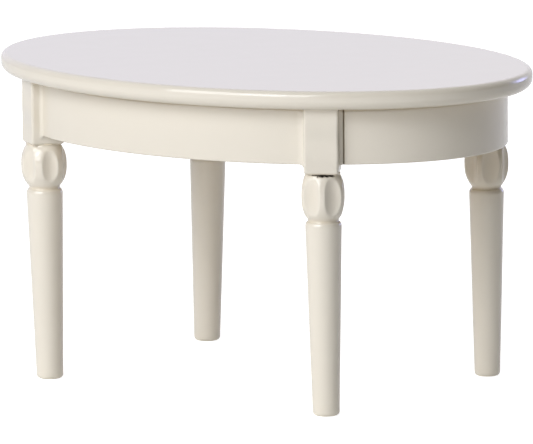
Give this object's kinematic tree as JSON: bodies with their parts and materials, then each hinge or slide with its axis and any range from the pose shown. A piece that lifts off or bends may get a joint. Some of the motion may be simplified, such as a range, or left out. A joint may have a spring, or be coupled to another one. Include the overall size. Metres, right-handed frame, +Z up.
{
  "type": "miniature dining table",
  "caption": "Miniature oval dining table in painted wood: an oval top on a curved apron with square corner posts over turned legs with fluted bulbs.",
  "frame": {"origin": "on the floor, under the middle of the oval top", "axes": "+Z up from the floor; +X along the oval top's long way, +Y along its short way"},
  "size_m": [0.16, 0.114, 0.0877],
  "materials": {
    "painted_top": "off-white gloss lacquer over fine-grained wood",
    "painted_apron": "off-white gloss lacquer over fine-grained wood",
    "painted_post": "off-white gloss lacquer over fine-grained wood",
    "painted_leg": "off-white gloss lacquer over turned hardwood",
    "dowel": "raw beech"
  },
  "bodies": {
    "root": {"tabletop": "painted_top", "front_apron_rail": "painted_apron", "back_apron_rail": "painted_apron", "left_apron_rail": "painted_apron", "right_apron_rail": "painted_apron", "front_left_post": "painted_post", "front_right_post": "painted_post", "back_left_post": "painted_post", "back_right_post": "painted_post", "front_left_leg": "painted_leg", "front_right_leg": "painted_leg", "back_left_leg": "painted_leg", "back_right_leg": "painted_leg", "front_left_leg_dowel": "dowel", "front_right_leg_dowel": "dowel", "back_left_leg_dowel": "dowel", "back_right_leg_dowel": "dowel", "front_left_top_dowel": "dowel", "front_right_top_dowel": "dowel", "back_left_top_dowel": "dowel", "back_right_top_dowel": "dowel", "front_rail_dowels": "dowel", "back_rail_dowels": "dowel", "left_rail_dowels": "dowel", "right_rail_dowels": "dowel"}
  },
  "joints": []
}
